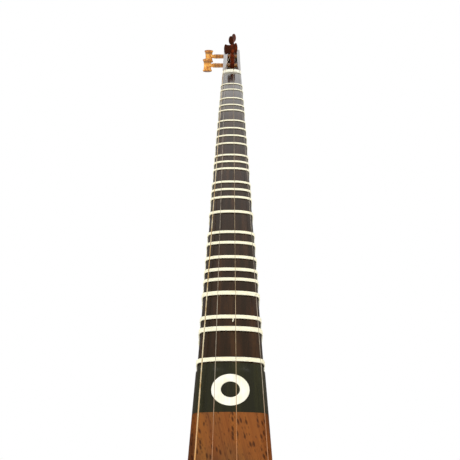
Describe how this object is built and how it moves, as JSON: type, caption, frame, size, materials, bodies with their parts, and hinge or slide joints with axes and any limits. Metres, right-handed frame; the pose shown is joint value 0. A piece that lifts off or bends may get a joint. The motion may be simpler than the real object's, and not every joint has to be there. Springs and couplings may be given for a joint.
{
  "type": "setar",
  "caption": "Long-necked plucked lute with a pear-shaped staved bowl, tied movable gut frets, hammer-headed friction pegs, a loose bridge and wire strings.",
  "frame": {"origin": "middle of the tailpiece's flat end, in the plane where the soundboard meets the bowl", "axes": "+Z runs along the strings from the tail to the head, -Y is the way the soundboard faces, +X is on the right of someone who faces the soundboard"},
  "size_m": [0.164, 0.1583, 0.8576],
  "materials": {
    "dark_walnut": "dark polished walnut",
    "fingerboard_wood": "dark hardwood, rubbed smooth, satin",
    "blackwood": "black polished hardwood",
    "mulberry": "reddish-brown mulberry, satin varnish",
    "mulberry_dark": "darker mulberry stave, satin varnish",
    "raw_wood": "raw softwood, unvarnished",
    "boxwood": "oiled boxwood",
    "amber_peg_wood": "amber-stained turned wood, polished",
    "red_peg_wood": "dark red-brown turned wood, polished",
    "bone": "polished bone",
    "gut": "natural gut, slightly translucent cream",
    "bronze_wire": "bright bronze wire",
    "steel_wire": "drawn steel wire"
  },
  "bodies": {
    "instrument": {"neck": "dark_walnut", "fingerboard": "fingerboard_wood", "nut": "bone", "head": "dark_walnut", "end_panel": "blackwood", "ring_inlay": "bone", "soundboard": "mulberry", "neck_block": "raw_wood", "tail_block": "raw_wood", "brace_upper": "raw_wood", "brace_lower": "raw_wood", "end_cap": "dark_walnut", "tailpiece": "bone", "stave_1": "mulberry", "stave_2": "mulberry_dark", "stave_3": "mulberry", "stave_4": "mulberry_dark", "stave_5": "mulberry", "stave_6": "mulberry_dark", "stave_7": "mulberry", "stave_8": "mulberry_dark", "stave_9": "mulberry", "string_bass": "bronze_wire", "string_zang": "steel_wire", "string_second": "bronze_wire", "string_first": "steel_wire"},
    "bridge": {"bridge": "boxwood"},
    "front_near_peg": {"peg_front_near": "red_peg_wood", "winding_second": "bronze_wire"},
    "side_near_peg": {"peg_side_near": "amber_peg_wood", "winding_zang": "steel_wire"},
    "front_far_peg": {"peg_front_far": "red_peg_wood", "winding_first": "steel_wire"},
    "side_far_peg": {"peg_side_far": "amber_peg_wood", "winding_bass": "bronze_wire"},
    "fret_01": {"fret_01": "gut"},
    "fret_02": {"fret_02": "gut"},
    "fret_03": {"fret_03": "gut"},
    "fret_04": {"fret_04": "gut"},
    "fret_05": {"fret_05": "gut"},
    "fret_06": {"fret_06": "gut"},
    "fret_07": {"fret_07": "gut"},
    "fret_08": {"fret_08": "gut"},
    "fret_09": {"fret_09": "gut"},
    "fret_10": {"fret_10": "gut"},
    "fret_11": {"fret_11": "gut"},
    "fret_12": {"fret_12": "gut"},
    "fret_13": {"fret_13": "gut"},
    "fret_14": {"fret_14": "gut"},
    "fret_15": {"fret_15": "gut"},
    "fret_16": {"fret_16": "gut"},
    "fret_17": {"fret_17": "gut"},
    "fret_18": {"fret_18": "gut"},
    "fret_19": {"fret_19": "gut"},
    "fret_20": {"fret_20": "gut"},
    "fret_21": {"fret_21": "gut"},
    "fret_22": {"fret_22": "gut"},
    "fret_23": {"fret_23": "gut"},
    "fret_24": {"fret_24": "gut"},
    "fret_25": {"fret_25": "gut"}
  },
  "joints": [
    {"name": "front_near_peg_turn", "type": "hinge", "parent": "instrument", "child": "front_near_peg", "pos_m": [0.00065, 0, 0.7676], "axis": [0, 1, 0], "continuous": true},
    {"name": "side_near_peg_turn", "type": "hinge", "parent": "instrument", "child": "side_near_peg", "pos_m": [0, 0.0052, 0.79262], "axis": [1, 0, 0], "continuous": true},
    {"name": "front_far_peg_turn", "type": "hinge", "parent": "instrument", "child": "front_far_peg", "pos_m": [0.00065, 0, 0.81759], "axis": [0, 1, 0], "continuous": true},
    {"name": "side_far_peg_turn", "type": "hinge", "parent": "instrument", "child": "side_far_peg", "pos_m": [0, 0.0052, 0.83759], "axis": [1, 0, 0], "continuous": true},
    {"name": "bridge_shift", "type": "slide", "parent": "instrument", "child": "bridge", "axis": [0, 0, 1], "range_m": [-0.002, 0.002]},
    {"name": "fret_01_shift", "type": "slide", "parent": "instrument", "child": "fret_01", "axis": [0, 0, 1], "range_m": [-0.002, 0.002]},
    {"name": "fret_02_shift", "type": "slide", "parent": "instrument", "child": "fret_02", "axis": [0, 0, 1], "range_m": [-0.002, 0.002]},
    {"name": "fret_03_shift", "type": "slide", "parent": "instrument", "child": "fret_03", "axis": [0, 0, 1], "range_m": [-0.002, 0.002]},
    {"name": "fret_04_shift", "type": "slide", "parent": "instrument", "child": "fret_04", "axis": [0, 0, 1], "range_m": [-0.002, 0.002]},
    {"name": "fret_05_shift", "type": "slide", "parent": "instrument", "child": "fret_05", "axis": [0, 0, 1], "range_m": [-0.002, 0.002]},
    {"name": "fret_06_shift", "type": "slide", "parent": "instrument", "child": "fret_06", "axis": [0, 0, 1], "range_m": [-0.002, 0.002]},
    {"name": "fret_07_shift", "type": "slide", "parent": "instrument", "child": "fret_07", "axis": [0, 0, 1], "range_m": [-0.002, 0.002]},
    {"name": "fret_08_shift", "type": "slide", "parent": "instrument", "child": "fret_08", "axis": [0, 0, 1], "range_m": [-0.002, 0.002]},
    {"name": "fret_09_shift", "type": "slide", "parent": "instrument", "child": "fret_09", "axis": [0, 0, 1], "range_m": [-0.002, 0.002]},
    {"name": "fret_10_shift", "type": "slide", "parent": "instrument", "child": "fret_10", "axis": [0, 0, 1], "range_m": [-0.002, 0.002]},
    {"name": "fret_11_shift", "type": "slide", "parent": "instrument", "child": "fret_11", "axis": [0, 0, 1], "range_m": [-0.002, 0.002]},
    {"name": "fret_12_shift", "type": "slide", "parent": "instrument", "child": "fret_12", "axis": [0, 0, 1], "range_m": [-0.002, 0.002]},
    {"name": "fret_13_shift", "type": "slide", "parent": "instrument", "child": "fret_13", "axis": [0, 0, 1], "range_m": [-0.002, 0.002]},
    {"name": "fret_14_shift", "type": "slide", "parent": "instrument", "child": "fret_14", "axis": [0, 0, 1], "range_m": [-0.002, 0.002]},
    {"name": "fret_15_shift", "type": "slide", "parent": "instrument", "child": "fret_15", "axis": [0, 0, 1], "range_m": [-0.002, 0.002]},
    {"name": "fret_16_shift", "type": "slide", "parent": "instrument", "child": "fret_16", "axis": [0, 0, 1], "range_m": [-0.002, 0.002]},
    {"name": "fret_17_shift", "type": "slide", "parent": "instrument", "child": "fret_17", "axis": [0, 0, 1], "range_m": [-0.002, 0.002]},
    {"name": "fret_18_shift", "type": "slide", "parent": "instrument", "child": "fret_18", "axis": [0, 0, 1], "range_m": [-0.002, 0.002]},
    {"name": "fret_19_shift", "type": "slide", "parent": "instrument", "child": "fret_19", "axis": [0, 0, 1], "range_m": [-0.002, 0.002]},
    {"name": "fret_20_shift", "type": "slide", "parent": "instrument", "child": "fret_20", "axis": [0, 0, 1], "range_m": [-0.002, 0.002]},
    {"name": "fret_21_shift", "type": "slide", "parent": "instrument", "child": "fret_21", "axis": [0, 0, 1], "range_m": [-0.002, 0.002]},
    {"name": "fret_22_shift", "type": "slide", "parent": "instrument", "child": "fret_22", "axis": [0, 0, 1], "range_m": [-0.002, 0.002]},
    {"name": "fret_23_shift", "type": "slide", "parent": "instrument", "child": "fret_23", "axis": [0, 0, 1], "range_m": [-0.002, 0.002]},
    {"name": "fret_24_shift", "type": "slide", "parent": "instrument", "child": "fret_24", "axis": [0, 0, 1], "range_m": [-0.002, 0.002]},
    {"name": "fret_25_shift", "type": "slide", "parent": "instrument", "child": "fret_25", "axis": [0, 0, 1], "range_m": [-0.002, 0.002]}
  ]
}
